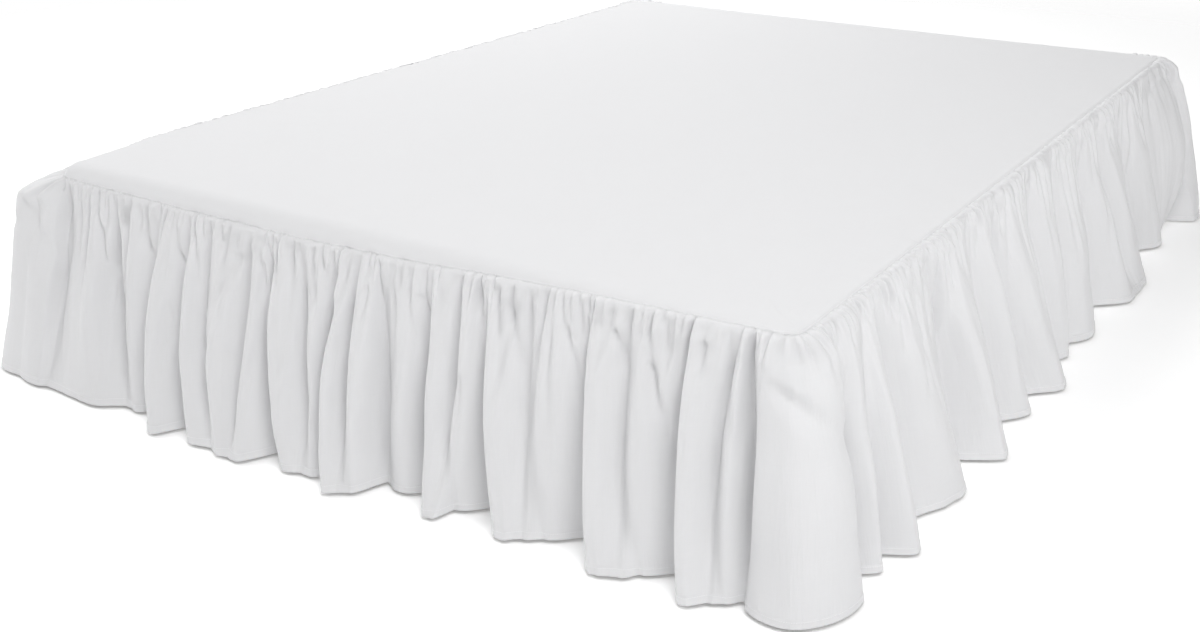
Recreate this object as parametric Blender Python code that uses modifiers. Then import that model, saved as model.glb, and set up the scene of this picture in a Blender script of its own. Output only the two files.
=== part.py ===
"""A ruffled bed skirt, drawn over a plain mattress base.

Metres, +Z up.  The foot of the bed points to -Y and its head to +Y, the bed's right side is
at +X, and the floor is z = 0.  The origin is on the floor, under the middle of the whole piece.

The skirt is a flat deck panel with three gathered ruffles sewn to its edges.  A place round the
skirt is given by its run, the distance along a side's seam from that side's first corner, and by
its reach, how far the cloth stands out from the seam there.
"""
import math
from collections import namedtuple

import bmesh
import bpy

# ---- driving dimensions ---------------------------------------------------------------------
DECK_WIDTH = 1.524          # across the bed, seam to seam
DECK_LENGTH = 2.032         # head to foot
DECK_TOP = 0.400            # floor to the deck's upper face
HEM_HEIGHT = 0.007          # floor to the ruffle's lower edge
CORNER_RADIUS = 0.030       # the deck's corners, seen from above
CLOTH = 0.0015              # thickness of a ply, with its seam and hem
GAP = 0.0003                # between pieces that touch

EDGE_ROLL = 0.036           # radius of the deck's edge as it turns down
SHOULDER_DROP = 0.030       # below the seam, where the ruffle's first swell ends
SHOULDER_FLAT = 0.030       # reach of that swell under an edge that stays level
SHOULDER_ROLLED = 0.017     # and under an edge that has turned right down
GATHER_DEPTH = 0.009        # crest to trough of the pleats at the swell

BASE_INSET = 0.008          # base side, inside the seam
BASE_CORNER = 0.060         # base corners, seen from above
BASE_CORNER_FACETS = 5
BASE_EDGE = 0.045           # base top edge
BASE_EDGE_FACETS = 4
BASE_FOOT_EDGE = 0.008      # base lower edge
LEG_HEIGHT = 0.180
LEG_RADIUS = 0.030
LEG_FOOT_RADIUS = 0.024
LEG_SIDES = 20
LEG_INSET = 0.095           # leg's middle, inside the seam

BED_SHIFT = (0.008, 0.010)  # from the origin, under the middle of it all, to the deck's middle
FOLD_STEP = 0.022           # facet between a crest and a trough, along the hem
CORNER_STEP = 0.0065        # longest facet round a corner, along the seam
ROWS = (0.02, 0.08, 0.24, 0.47, 0.73, 1.0)   # ruffle's facet rows, as parts of its drop
SELVAGE = 0.003             # first narrow row, in line with the deck's edge

CORNER_ARC = CORNER_RADIUS * math.pi / 2
HALF_WIDTH = DECK_WIDTH / 2
HALF_LENGTH = DECK_LENGTH / 2

# ---- how far the seam lies below the deck, along each side -----------------------------------
SeamDrop = namedtuple("SeamDrop", "run drop")
FOOT_SEAM = [
    SeamDrop(-0.0851, 0.014),
    SeamDrop(0.00, 0.025),
    SeamDrop(0.08, 0.029),
    SeamDrop(0.40, 0.034),
    SeamDrop(0.65, 0.034),
    SeamDrop(0.86, 0.028),
    SeamDrop(1.05, 0.018),
    SeamDrop(1.22, 0.012),
    SeamDrop(1.39, 0.008),
    SeamDrop(1.55, 0.003),
]
RIGHT_SEAM = [SeamDrop(0.00, 0.003)]
HEAD_SEAM = [
    SeamDrop(0.15, 0.003),
    SeamDrop(0.40, 0.008),
    SeamDrop(1.10, 0.008),
    SeamDrop(1.35, 0.003),
]
LEFT_SEAM = [SeamDrop(1.82, 0.003), SeamDrop(1.934, 0.014), SeamDrop(2.0191, 0.025)]

# ---- the folds: crests and troughs in turn, each from the seam down to the hem ---------------
# seam, middle and hem are runs; top_out, middle_out and hem_out are how far it reaches at the
# shoulder, half-way down and at the hem.  A top_out of 0 is the ordinary shoulder.
Fold = namedtuple("Fold", "seam middle hem middle_out hem_out top_out", defaults=[0])
FOOT_FOLDS = [
    Fold(-0.085, -0.085, -0.085, 0.050, 0.072),
    Fold(0.006, 0.005, 0.005, 0.126, 0.169, 0.090),
    Fold(0.018, 0.018, 0.018, 0.100, 0.136, 0.060),
    Fold(0.045, 0.052, 0.050, 0.074, 0.126),
    Fold(0.130, 0.140, 0.172, 0.086, 0.137),
    Fold(0.172, 0.183, 0.243, 0.046, 0.106),
    Fold(0.212, 0.232, 0.272, 0.066, 0.110),
    Fold(0.282, 0.275, 0.308, 0.045, 0.088),
    Fold(0.305, 0.310, 0.360, 0.088, 0.157),
    Fold(0.368, 0.366, 0.410, 0.046, 0.090),
    Fold(0.384, 0.394, 0.452, 0.088, 0.145),
    Fold(0.410, 0.420, 0.495, 0.068, 0.136),
    Fold(0.462, 0.465, 0.528, 0.086, 0.150),
    Fold(0.512, 0.507, 0.545, 0.054, 0.146),
    Fold(0.542, 0.540, 0.562, 0.078, 0.150),
    Fold(0.566, 0.570, 0.612, 0.044, 0.082),
    Fold(0.583, 0.602, 0.662, 0.086, 0.130),
    Fold(0.622, 0.655, 0.690, 0.060, 0.116),
    Fold(0.672, 0.678, 0.710, 0.068, 0.117),
    Fold(0.706, 0.698, 0.738, 0.046, 0.094),
    Fold(0.720, 0.723, 0.766, 0.086, 0.148),
    Fold(0.746, 0.750, 0.786, 0.066, 0.130),
    Fold(0.772, 0.778, 0.803, 0.082, 0.126),
    Fold(0.798, 0.815, 0.832, 0.044, 0.068),
    Fold(0.862, 0.868, 0.872, 0.066, 0.080),
    Fold(0.905, 0.902, 0.910, 0.038, 0.058),
    Fold(0.918, 0.928, 0.952, 0.070, 0.117),
    Fold(0.958, 0.962, 0.966, 0.056, 0.116),
    Fold(0.985, 0.983, 0.980, 0.068, 0.078),
    Fold(1.013, 1.020, 1.036, 0.034, 0.038),
    Fold(1.026, 1.044, 1.088, 0.072, 0.114),
    Fold(1.098, 1.097, 1.120, 0.052, 0.094),
    Fold(1.135, 1.136, 1.150, 0.062, 0.074),
    Fold(1.193, 1.203, 1.206, 0.028, 0.032),
    Fold(1.202, 1.222, 1.262, 0.070, 0.117),
    Fold(1.272, 1.267, 1.300, 0.050, 0.100),
    Fold(1.310, 1.303, 1.325, 0.060, 0.078),
    Fold(1.362, 1.360, 1.370, 0.034, 0.048),
    Fold(1.370, 1.379, 1.412, 0.072, 0.114),
    Fold(1.440, 1.425, 1.445, 0.054, 0.090),
    Fold(1.450, 1.450, 1.462, 0.062, 0.078),
    Fold(1.459, 1.477, 1.484, 0.038, 0.058),
    Fold(1.514, 1.515, 1.516, 0.088, 0.107, 0.050),
    Fold(1.570, 1.585, 1.594, 0.044, 0.066),
    Fold(1.614, 1.619, 1.626, 0.066, 0.094),
    Fold(1.652, 1.657, 1.661, 0.046, 0.070),
]
# The foot's ruffle turns both corners, and the side ruffles meet its two ends.
RIGHT_FOLDS = [
    Fold(0.165, 0.175, 0.190, 0.080, 0.124),
    Fold(0.215, 0.245, 0.255, 0.045, 0.065),
    Fold(0.300, 0.335, 0.390, 0.076, 0.120),
    Fold(0.410, 0.485, 0.485, 0.034, 0.060),
    Fold(0.480, 0.530, 0.548, 0.082, 0.136),
    Fold(0.620, 0.640, 0.665, 0.055, 0.080),
    Fold(0.660, 0.688, 0.730, 0.078, 0.121),
    Fold(0.700, 0.735, 0.795, 0.055, 0.086),
    Fold(0.810, 0.832, 0.870, 0.085, 0.140),
    Fold(0.930, 0.948, 0.970, 0.060, 0.090),
    Fold(0.990, 1.000, 1.018, 0.076, 0.106),
    Fold(1.080, 1.075, 1.060, 0.044, 0.080),
    Fold(1.150, 1.142, 1.137, 0.078, 0.120),
    Fold(1.260, 1.280, 1.290, 0.050, 0.070),
    Fold(1.335, 1.350, 1.385, 0.080, 0.140),
    Fold(1.375, 1.420, 1.435, 0.044, 0.142),
    Fold(1.440, 1.475, 1.480, 0.076, 0.142),
    Fold(1.570, 1.610, 1.690, 0.056, 0.062),
    Fold(1.680, 1.710, 1.778, 0.078, 0.108),
    Fold(1.790, 1.800, 1.860, 0.062, 0.086),
    Fold(1.960, 1.980, 1.920, 0.098, 0.080),
    Fold(1.990, 2.004, 1.962, 0.072, 0.068, 0.024),
    Fold(2.008, 2.018, 2.018, 0.112, 0.150, 0.050),
    Fold(2.110, 2.110, 2.110, 0.050, 0.072),
]
# The left side runs from the head to the foot, so its first fold turns the head corner.
LEFT_FOLDS = [
    Fold(-0.080, -0.080, -0.080, 0.050, 0.072),
    Fold(0.008, 0.008, 0.008, 0.108, 0.150, 0.055),
    Fold(0.085, 0.090, 0.100, 0.050, 0.070),
    Fold(0.150, 0.165, 0.175, 0.078, 0.118),
    Fold(0.235, 0.240, 0.250, 0.046, 0.066),
    Fold(0.320, 0.310, 0.305, 0.084, 0.138),
    Fold(0.400, 0.385, 0.380, 0.052, 0.078),
    Fold(0.455, 0.440, 0.430, 0.078, 0.112),
    Fold(0.520, 0.510, 0.520, 0.042, 0.062),
    Fold(0.600, 0.605, 0.620, 0.084, 0.146),
    Fold(0.690, 0.700, 0.710, 0.050, 0.082),
    Fold(0.745, 0.750, 0.770, 0.078, 0.118),
    Fold(0.850, 0.845, 0.835, 0.040, 0.060),
    Fold(0.910, 0.920, 0.930, 0.084, 0.132),
    Fold(1.010, 1.015, 1.035, 0.050, 0.080),
    Fold(1.070, 1.080, 1.105, 0.078, 0.112),
    Fold(1.160, 1.165, 1.175, 0.044, 0.064),
    Fold(1.240, 1.250, 1.260, 0.086, 0.144),
    Fold(1.345, 1.340, 1.345, 0.052, 0.084),
    Fold(1.400, 1.400, 1.405, 0.076, 0.110),
    Fold(1.480, 1.485, 1.490, 0.044, 0.064),
    Fold(1.560, 1.565, 1.580, 0.084, 0.134),
    Fold(1.660, 1.665, 1.665, 0.050, 0.078),
    Fold(1.720, 1.730, 1.745, 0.078, 0.116),
    Fold(1.815, 1.815, 1.820, 0.046, 0.070),
    Fold(1.865, 1.870, 1.880, 0.076, 0.108),
]

# ---- sides: where each one starts and which way it runs ---------------------------------------
Side = namedtuple("Side", "start along outward length seam")
FOOT = Side((-HALF_WIDTH, -HALF_LENGTH), (1, 0), (0, -1), DECK_WIDTH, FOOT_SEAM)
RIGHT = Side((HALF_WIDTH, -HALF_LENGTH), (0, 1), (1, 0), DECK_LENGTH, RIGHT_SEAM)
HEAD = Side((HALF_WIDTH, HALF_LENGTH), (-1, 0), (0, 1), DECK_WIDTH, HEAD_SEAM)
LEFT = Side((-HALF_WIDTH, HALF_LENGTH), (0, -1), (-1, 0), DECK_LENGTH, LEFT_SEAM)


def mix(first, second, part):
    return first + (second - first) * part


def place(side, run, reach):
    """Point on the plan at a run along the side, turning its corners when the run goes past them.

    A reach below 0 is an inset on the deck, where the corners tighten and never cross over."""
    first_turn = CORNER_RADIUS
    last_turn = side.length - CORNER_RADIUS
    along, out = side.along, side.outward
    radius = CORNER_RADIUS + reach if reach > 0 else CORNER_RADIUS * math.exp(reach / CORNER_RADIUS)
    corner = radius - reach
    if run < first_turn:
        centre, turn = corner, max((run - first_turn) / CORNER_RADIUS, -math.pi / 2)
        beyond = min(run - first_turn + CORNER_ARC, 0)
    elif run > last_turn:
        centre, turn = side.length - corner, min((run - last_turn) / CORNER_RADIUS, math.pi / 2)
        beyond = max(run - last_turn - CORNER_ARC, 0)
    else:
        turn, beyond = 0, 0
        centre = mix(corner, side.length - corner, (run - first_turn) / (last_turn - first_turn))
    sideways = centre + radius * math.sin(turn)
    outwards = -corner + radius * math.cos(turn) - abs(beyond)
    x = side.start[0] + along[0] * sideways + out[0] * outwards
    y = side.start[1] + along[1] * sideways + out[1] * outwards
    return x, y


def seam_drop(side, run):
    """Depth of the seam below the deck's top, in straight stretches between the table's rows."""
    rows = side.seam
    if run <= rows[0].run:
        return rows[0].drop
    for low, high in zip(rows, rows[1:]):
        if run <= high.run:
            return mix(low.drop, high.drop, (run - low.run) / (high.run - low.run))
    return rows[-1].drop


def roll_angle(drop):
    """How far the deck's edge has turned down where the seam lies this deep."""
    return math.acos(1 - drop / EDGE_ROLL)


def carried_on(fold, shift):
    """The same fold, with its runs measured along the neighbouring side."""
    return fold._replace(seam=fold.seam + shift, middle=fold.middle + shift, hem=fold.hem + shift)


def curve_through(start, middle, end, middle_part, part):
    """Smooth curve from start to end that passes through middle at middle_part of the way."""
    weight = 2 * middle_part * (1 - middle_part)
    pull = (middle - start * (1 - middle_part) ** 2 - end * middle_part ** 2) / weight
    return start * (1 - part) ** 2 + pull * 2 * part * (1 - part) + end * part ** 2


# ---- building ---------------------------------------------------------------------------------
def finish(name, color, roughness):
    """A plain material for one kind of piece."""
    material = bpy.data.materials.new(name)
    material.use_nodes = True
    shader = material.node_tree.nodes["Principled BSDF"]
    shader.inputs["Base Color"].default_value = (*color, 1)
    shader.inputs["Roughness"].default_value = roughness
    shader.inputs["Metallic"].default_value = 0
    return material


def add_object(name, mesh_builder, material, smooth):
    """Turn a bmesh into an object of the bed skirt's collection, under the bed's empty."""
    mesh = bpy.data.meshes.new(name)
    mesh_builder.to_mesh(mesh)
    mesh_builder.free()
    mesh.materials.append(material)
    if smooth:
        mesh.shade_smooth()
    piece = bpy.data.objects.new(name, mesh)
    skirt_collection.objects.link(piece)
    piece.parent = bed
    return piece


def thicken(piece):
    """Give an open sheet the thickness of its cloth, inwards."""
    solidify = piece.modifiers.new("ply", "SOLIDIFY")
    solidify.thickness = CLOTH
    solidify.offset = -1
    solidify.use_even_offset = False


def sheet_grid(columns, rows, locate):
    """A grid of columns from left to right and rows from top to bottom, each point placed."""
    builder = bmesh.new()
    bmesh.ops.create_grid(builder, x_segments=columns - 1, y_segments=rows - 1, size=0.5)
    for point in builder.verts:
        column = round((point.co.x + 0.5) * (columns - 1))
        row = round((0.5 - point.co.y) * (rows - 1))
        point.co = locate(column, row)
    return builder


# ---- deck -------------------------------------------------------------------------------------
ROLL_STEPS = 3              # facets of the deck's rolled edge
DECK_STEP = 0.16            # longest facet along the deck's straight edges
CORNER_STEPS = 5            # facets round a deck corner


def side_stations(side):
    """Runs of the deck's edge points, from the start of a side's first corner to its last."""
    first_turn, last_turn = CORNER_RADIUS, side.length - CORNER_RADIUS
    stations = [first_turn - CORNER_ARC * (1 - step / CORNER_STEPS) for step in range(CORNER_STEPS)]
    knots = [row.run for row in side.seam if first_turn < row.run < last_turn]
    stops = [first_turn, *knots, last_turn]
    for low, high in zip(stops, stops[1:]):
        steps = max(1, math.ceil((high - low) / DECK_STEP))
        stations += [mix(low, high, step / steps) for step in range(steps)]
    return stations + [last_turn]


def edge_section(drop, step):
    """Inset and height of a point of the deck's rolled edge: 0 is the seam, ROLL_STEPS the flat."""
    angle = roll_angle(drop)
    here = angle * (1 - step / ROLL_STEPS)
    inset = EDGE_ROLL * (math.sin(angle) - math.sin(here))
    return inset, DECK_TOP - EDGE_ROLL * (1 - math.cos(here))


def make_deck(material):
    ring = [(side, run) for side in (FOOT, RIGHT, HEAD, LEFT) for run in side_stations(side)]

    def locate(column, row):
        side, run = ring[column % len(ring)]
        inset, height = edge_section(seam_drop(side, run), ROLL_STEPS - row)
        return (*place(side, run, -inset), height)

    builder = sheet_grid(len(ring) + 1, ROLL_STEPS + 1, locate)
    bmesh.ops.remove_doubles(builder, verts=builder.verts, dist=GAP / 10)
    inner = [edge for edge in builder.edges
             if edge.is_boundary and all(v.co.z > DECK_TOP - GAP / 10 for v in edge.verts)]
    bmesh.ops.contextual_create(builder, geom=inner)
    bmesh.ops.recalc_face_normals(builder, faces=builder.faces)
    thicken(add_object("deck_panel", builder, material, smooth=False))


# ---- ruffles ----------------------------------------------------------------------------------
def ruffle_columns(side, folds):
    """Columns of cloth between the table's crests and troughs, evenly spaced along the hem."""
    columns = []
    for low, high in zip(folds, folds[1:]):
        width = math.dist(place(side, low.hem, low.hem_out), place(side, high.hem, high.hem_out))
        steps = max(2, round(width / FOLD_STEP))
        if low.seam < CORNER_RADIUS or high.seam > side.length - CORNER_RADIUS:
            steps = max(steps, math.ceil((high.seam - low.seam) / CORNER_STEP))
        for step in range(steps):
            part = step / steps
            ease = (1 - math.cos(math.pi * part)) / 2
            columns.append(Fold(
                mix(low.seam, high.seam, part),
                mix(low.middle, high.middle, part),
                mix(low.hem, high.hem, part),
                mix(low.middle_out, high.middle_out, ease),
                mix(low.hem_out, high.hem_out, ease),
                mix(low.top_out, high.top_out, ease),
            ))
    return columns + [folds[-1]]


MIDDLE_DROP = 0.20          # depth below the deck's top at which the tables' middle lies
GATHER_FADE = (0.5, 1.0, 0.45, 0, 0, 0)   # share of the pleats' depth, by row of ROWS
SHALLOW_PLEAT, DEEP_PLEAT = 0.3, 1.0      # uneven pleats, as shares of GATHER_DEPTH
PLEAT_BEAT = 2.4                          # how fast they change from shallow to deep


def ruffle_reach(column, drop, total_drop, shoulder):
    """How far a column stands out at a depth below its seam."""
    if drop < SHOULDER_DROP:
        return shoulder * math.sqrt(1 - (1 - drop / SHOULDER_DROP) ** 2)
    fall = total_drop - SHOULDER_DROP
    middle_part = (MIDDLE_DROP - SHOULDER_DROP) / fall
    part = (drop - SHOULDER_DROP) / fall
    return curve_through(shoulder, column.middle_out, column.hem_out, middle_part, part)


def make_ruffle(name, side, folds, material):
    columns = ruffle_columns(side, folds)

    def locate(index, row):
        column = columns[index]
        sink = seam_drop(side, column.seam)
        slope = roll_angle(sink) * (1 - 0.5 / ROLL_STEPS)
        if row < 2:
            along_edge = GAP + SELVAGE * row
            x, y = place(side, column.seam, along_edge * math.cos(slope))
            return x, y, DECK_TOP - sink - along_edge * math.sin(slope)
        total_drop = DECK_TOP - sink - HEM_HEIGHT
        part = ROWS[row - 2]
        drop = total_drop * part
        middle_part = MIDDLE_DROP / total_drop
        run = curve_through(column.seam, column.middle, column.hem, middle_part, part)
        shoulder = max(mix(SHOULDER_FLAT, SHOULDER_ROLLED, math.sin(slope)), column.top_out)
        reach = ruffle_reach(column, drop, total_drop, shoulder)
        if 1 < index < len(columns) - 2:
            unevenness = mix(SHALLOW_PLEAT, DEEP_PLEAT, (1 + math.sin(PLEAT_BEAT * index)) / 2)
            pleat = GATHER_DEPTH / 2 * unevenness * (-1) ** index
            reach += pleat * GATHER_FADE[row - 2]
        x, y = place(side, run, reach)
        return x, y, DECK_TOP - sink - drop

    builder = sheet_grid(len(columns), len(ROWS) + 2, locate)
    thicken(add_object(name, builder, material, smooth=True))


# ---- base -------------------------------------------------------------------------------------
def make_base(material):
    """A plain box with rounded corners and a soft top edge, just inside the skirt."""
    top = DECK_TOP - CLOTH - GAP
    size = (DECK_WIDTH - 2 * BASE_INSET, DECK_LENGTH - 2 * BASE_INSET, top - LEG_HEIGHT - GAP)
    middle = (top + LEG_HEIGHT + GAP) / 2
    builder = bmesh.new()
    bmesh.ops.create_cube(builder, size=1)
    bmesh.ops.scale(builder, vec=size, verts=builder.verts)
    bmesh.ops.translate(builder, vec=(0, 0, middle), verts=builder.verts)

    def bevel(edges, offset, segments):
        bmesh.ops.bevel(builder, geom=edges, offset=offset, segments=segments, profile=0.5,
                        affect="EDGES", offset_type="OFFSET", material=-1)

    def level_edges(height):
        return [edge for edge in builder.edges
                if all(abs(v.co.z - height) < GAP for v in edge.verts)]

    bevel([edge for edge in builder.edges if edge.verts[0].co.xy == edge.verts[1].co.xy],
          BASE_CORNER, BASE_CORNER_FACETS)
    bevel(level_edges(top), BASE_EDGE, BASE_EDGE_FACETS)
    bevel(level_edges(LEG_HEIGHT + GAP), BASE_FOOT_EDGE, 1)
    add_object("mattress_base", builder, material, smooth=False)


def make_legs(material):
    """Six round legs, at the corners and the middle of each side."""
    across = HALF_WIDTH - LEG_INSET
    ends = HALF_LENGTH - LEG_INSET
    number = 0
    for x in (-across, across):
        for y in (-ends, 0, ends):
            number += 1
            builder = bmesh.new()
            bmesh.ops.create_cone(builder, cap_ends=True, segments=LEG_SIDES,
                                  radius1=LEG_FOOT_RADIUS, radius2=LEG_RADIUS, depth=LEG_HEIGHT)
            leg = add_object(f"leg_{number}", builder, material, smooth=False)
            leg.location = (x, y, LEG_HEIGHT / 2)


for old in list(bpy.data.objects):
    bpy.data.objects.remove(old)
skirt_collection = bpy.data.collections.new("bed_skirt")
bpy.context.scene.collection.children.link(skirt_collection)
bed = bpy.data.objects.new("bed", None)
skirt_collection.objects.link(bed)
bed.location = (*BED_SHIFT, 0)

cotton = finish("white cotton", (0.83, 0.83, 0.84), 0.85)
ticking = finish("base cover", (0.62, 0.60, 0.56), 0.9)
beech = finish("beech", (0.62, 0.45, 0.28), 0.5)

make_deck(cotton)
to_right = CORNER_RADIUS * 2 - CORNER_ARC - FOOT.length
to_left = LEFT.length + CORNER_ARC - CORNER_RADIUS * 2
make_ruffle("ruffle_foot", FOOT, FOOT_FOLDS, cotton)
make_ruffle("ruffle_right", RIGHT, [carried_on(FOOT_FOLDS[-1], to_right + GAP), *RIGHT_FOLDS], cotton)
make_ruffle("ruffle_left", LEFT, [*LEFT_FOLDS, carried_on(FOOT_FOLDS[0], to_left - GAP)], cotton)
make_base(ticking)
make_legs(beech)
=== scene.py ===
"""A ruffled bed skirt over its mattress base, on a plain studio floor.

Metres, +Z up.  The foot of the bed points to -Y, its head to +Y and its right side to +X.
A place on the skirt is given by its run, the distance along a side's seam from that side's first
corner, and by its reach, how far the cloth stands out from the seam there.
"""
import bisect
import math
import random
from collections import namedtuple

import bmesh
import bpy
from mathutils import Matrix, Vector, noise


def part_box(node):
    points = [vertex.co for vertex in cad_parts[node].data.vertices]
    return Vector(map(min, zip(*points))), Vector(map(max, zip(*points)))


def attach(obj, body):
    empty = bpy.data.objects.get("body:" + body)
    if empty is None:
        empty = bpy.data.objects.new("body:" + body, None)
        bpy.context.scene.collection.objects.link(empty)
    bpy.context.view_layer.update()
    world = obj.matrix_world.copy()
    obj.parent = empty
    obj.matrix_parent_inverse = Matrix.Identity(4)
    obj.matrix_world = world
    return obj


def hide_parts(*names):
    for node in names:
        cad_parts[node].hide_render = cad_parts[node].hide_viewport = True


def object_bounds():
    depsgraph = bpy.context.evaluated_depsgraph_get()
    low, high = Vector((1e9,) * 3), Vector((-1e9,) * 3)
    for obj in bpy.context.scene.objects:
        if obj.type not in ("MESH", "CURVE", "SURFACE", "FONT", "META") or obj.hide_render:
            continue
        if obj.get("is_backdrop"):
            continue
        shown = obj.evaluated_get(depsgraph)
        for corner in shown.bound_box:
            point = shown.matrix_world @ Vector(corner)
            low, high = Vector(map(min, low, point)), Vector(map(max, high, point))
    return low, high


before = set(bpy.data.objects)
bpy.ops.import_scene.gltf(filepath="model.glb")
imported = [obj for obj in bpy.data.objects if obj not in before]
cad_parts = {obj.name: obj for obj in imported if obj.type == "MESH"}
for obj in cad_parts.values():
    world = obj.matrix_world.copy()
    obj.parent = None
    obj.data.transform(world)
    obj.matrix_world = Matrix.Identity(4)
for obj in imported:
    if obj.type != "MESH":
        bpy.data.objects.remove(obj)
cad_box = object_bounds()


# ---- mattress base ------------------------------------------------------------------------------
# A sprung base: a timber box padded at its edges and covered in a heavy grey-beige ticking.
# The cover is piped round its top and bottom edges, where the panels are sewn together.
class Value:
    """A socket of a finish.  An expression on values adds the Math nodes that work it out."""

    def __init__(self, finish, socket):
        self.finish = finish
        self.socket = socket

    def combine(self, operation, first, second):
        return self.finish.node("ShaderNodeMath", {"operation": operation}, {0: first, 1: second})

    def __add__(self, other):
        return self.combine("ADD", self, other)

    def __rsub__(self, other):
        return self.combine("SUBTRACT", other, self)

    def __mul__(self, other):
        return self.combine("MULTIPLY", self, other)


class Finish:
    """A material being mixed: one Principled shader and the nodes that feed it."""

    def __init__(self, name, **fixed):
        self.material = bpy.data.materials.new(name)
        self.material.use_nodes = True
        self.tree = self.material.node_tree
        self.shader = self.tree.nodes["Principled BSDF"]
        self.feed(self.shader, {label.replace("_", " "): value for label, value in fixed.items()})

    def feed(self, node, sockets):
        for label, value in sockets.items():
            if isinstance(value, Value):
                self.tree.links.new(value.socket, node.inputs[label])
            else:
                node.inputs[label].default_value = value

    def node(self, kind, settings=None, sockets=None, output=0):
        node = self.tree.nodes.new(kind)
        for name, value in (settings or {}).items():
            setattr(node, name, value)
        self.feed(node, sockets or {})
        return Value(self, node.outputs[output])

    def parts(self, vector):
        """The X, Y and Z of a vector."""
        return [self.node("ShaderNodeSeparateXYZ", {}, {0: vector}, output=axis)
                for axis in range(3)]

    def wave(self, value):
        """Sine of a value in radians."""
        return self.node("ShaderNodeMath", {"operation": "SINE"}, {0: value})

    def stretched(self, point, scale):
        """A point with each of its parts scaled, to stretch a pattern."""
        return self.node("ShaderNodeVectorMath", {"operation": "MULTIPLY"}, {0: point, 1: scale})

    def mottle(self, point, scale, detail=2.0):
        """Soft noise between 0 and 1."""
        sockets = {"Vector": point, "Scale": scale, "Detail": detail}
        return self.node("ShaderNodeTexNoise", {}, sockets)

    def blend(self, part, first, second):
        """A colour between two others."""
        sockets = {0: part, 6: (*first, 1), 7: (*second, 1)}
        return self.node("ShaderNodeMix", {"data_type": "RGBA"}, sockets, output=2)

    def relief(self, height, depth):
        """Feed a height, 0 to 1, to the shader as a bump of a depth in metres."""
        sockets = {"Height": height, "Distance": depth, "Strength": 1.0}
        bump = self.node("ShaderNodeBump", {}, sockets)
        self.feed(self.shader, {"Normal": bump})


TICKING_LIGHT = (0.55, 0.53, 0.49)
TICKING_DARK = (0.46, 0.44, 0.40)
TICKING_TWILL = 0.0016      # pitch of the twill's slanting ribs

ticking = Finish("ticking", Roughness=0.9, Sheen_Weight=0.1)
ticking_place = ticking.node("ShaderNodeTexCoord", output=3)
ticking_x, ticking_y, ticking_z = ticking.parts(ticking_place)
ticking_rib = ticking.wave((ticking_x + ticking_y + ticking_z) * (2 * math.pi / TICKING_TWILL))
ticking_slub = ticking.mottle(ticking.stretched(ticking_place, (1, 1, 6)), 60.0)
ticking_colour = ticking.blend(ticking_slub, TICKING_DARK, TICKING_LIGHT)
ticking.feed(ticking.shader, {"Base Color": ticking_colour})
ticking.relief(ticking_rib * 0.4 + ticking_slub * 0.6, 0.0004)

BASE_CORNER = 0.060         # seen from above
BASE_EDGE = 0.045           # top edge
BASE_FOOT_EDGE = 0.008      # lower edge
PIPING_RADIUS = 0.0035
PIPING_RISE = 0.020         # above the base's lower face

base_low, base_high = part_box("mattress_base")


def solid_object(name, builder, finish):
    """A smooth-shaded object from a bmesh, with its place in its mesh."""
    mesh = bpy.data.meshes.new(name)
    builder.to_mesh(mesh)
    builder.free()
    mesh.materials.append(finish.material)
    mesh.shade_smooth()
    piece = bpy.data.objects.new(name, mesh)
    bpy.context.scene.collection.objects.link(piece)
    return piece


def level_edges(builder, height):
    return [edge for edge in builder.edges if all(abs(v.co.z - height) < 1e-5 for v in edge.verts)]


def rounded_box(low, high):
    """The base's box: round corners, a soft top edge and a small lower one."""
    builder = bmesh.new()
    bmesh.ops.create_cube(builder, size=1)
    bmesh.ops.scale(builder, vec=high - low, verts=builder.verts)
    bmesh.ops.translate(builder, vec=(low + high) / 2, verts=builder.verts)
    upright = [edge for edge in builder.edges if edge.verts[0].co.xy == edge.verts[1].co.xy]
    for edges, offset, segments in (
        (upright, BASE_CORNER, 12),
        (lambda: level_edges(builder, high.z), BASE_EDGE, 8),
        (lambda: level_edges(builder, low.z), BASE_FOOT_EDGE, 3),
    ):
        bmesh.ops.bevel(builder, geom=edges() if callable(edges) else edges, offset=offset,
                        segments=segments, profile=0.5, affect="EDGES", offset_type="OFFSET",
                        material=-1)
    return builder


base_cover = solid_object("base_cover", rounded_box(base_low, base_high), ticking)
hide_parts("mattress_base")
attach(base_cover, "root")


def piping(name, height):
    """A covered cord round the base at a height, lying half in the cover."""
    half = (base_high - base_low) / 2 - Vector((BASE_CORNER, BASE_CORNER, 0))
    centre = (base_low + base_high) / 2
    line = bpy.data.curves.new(name, "CURVE")
    line.dimensions = "3D"
    line.bevel_depth = PIPING_RADIUS
    line.bevel_resolution = 3
    spline = line.splines.new("POLY")
    turns = [(quarter, step) for quarter in range(4) for step in range(13)]
    spline.points.add(len(turns) - 1)
    spline.use_cyclic_u = True
    for point, (quarter, step) in zip(spline.points, turns):
        angle = math.radians(90 * quarter + 90 * step / 12)
        corner_x = half.x if quarter in (0, 3) else -half.x
        corner_y = half.y if quarter in (0, 1) else -half.y
        point.co = (
            centre.x + corner_x + BASE_CORNER * math.cos(angle),
            centre.y + corner_y + BASE_CORNER * math.sin(angle),
            height,
            1,
        )
    line.materials.append(ticking.material)
    cord = bpy.data.objects.new(name, line)
    bpy.context.scene.collection.objects.link(cord)
    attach(cord, "root")
    return cord


piping("base_piping_lower", base_low.z + PIPING_RISE)
piping("base_piping_upper", base_high.z - BASE_EDGE)


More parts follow.
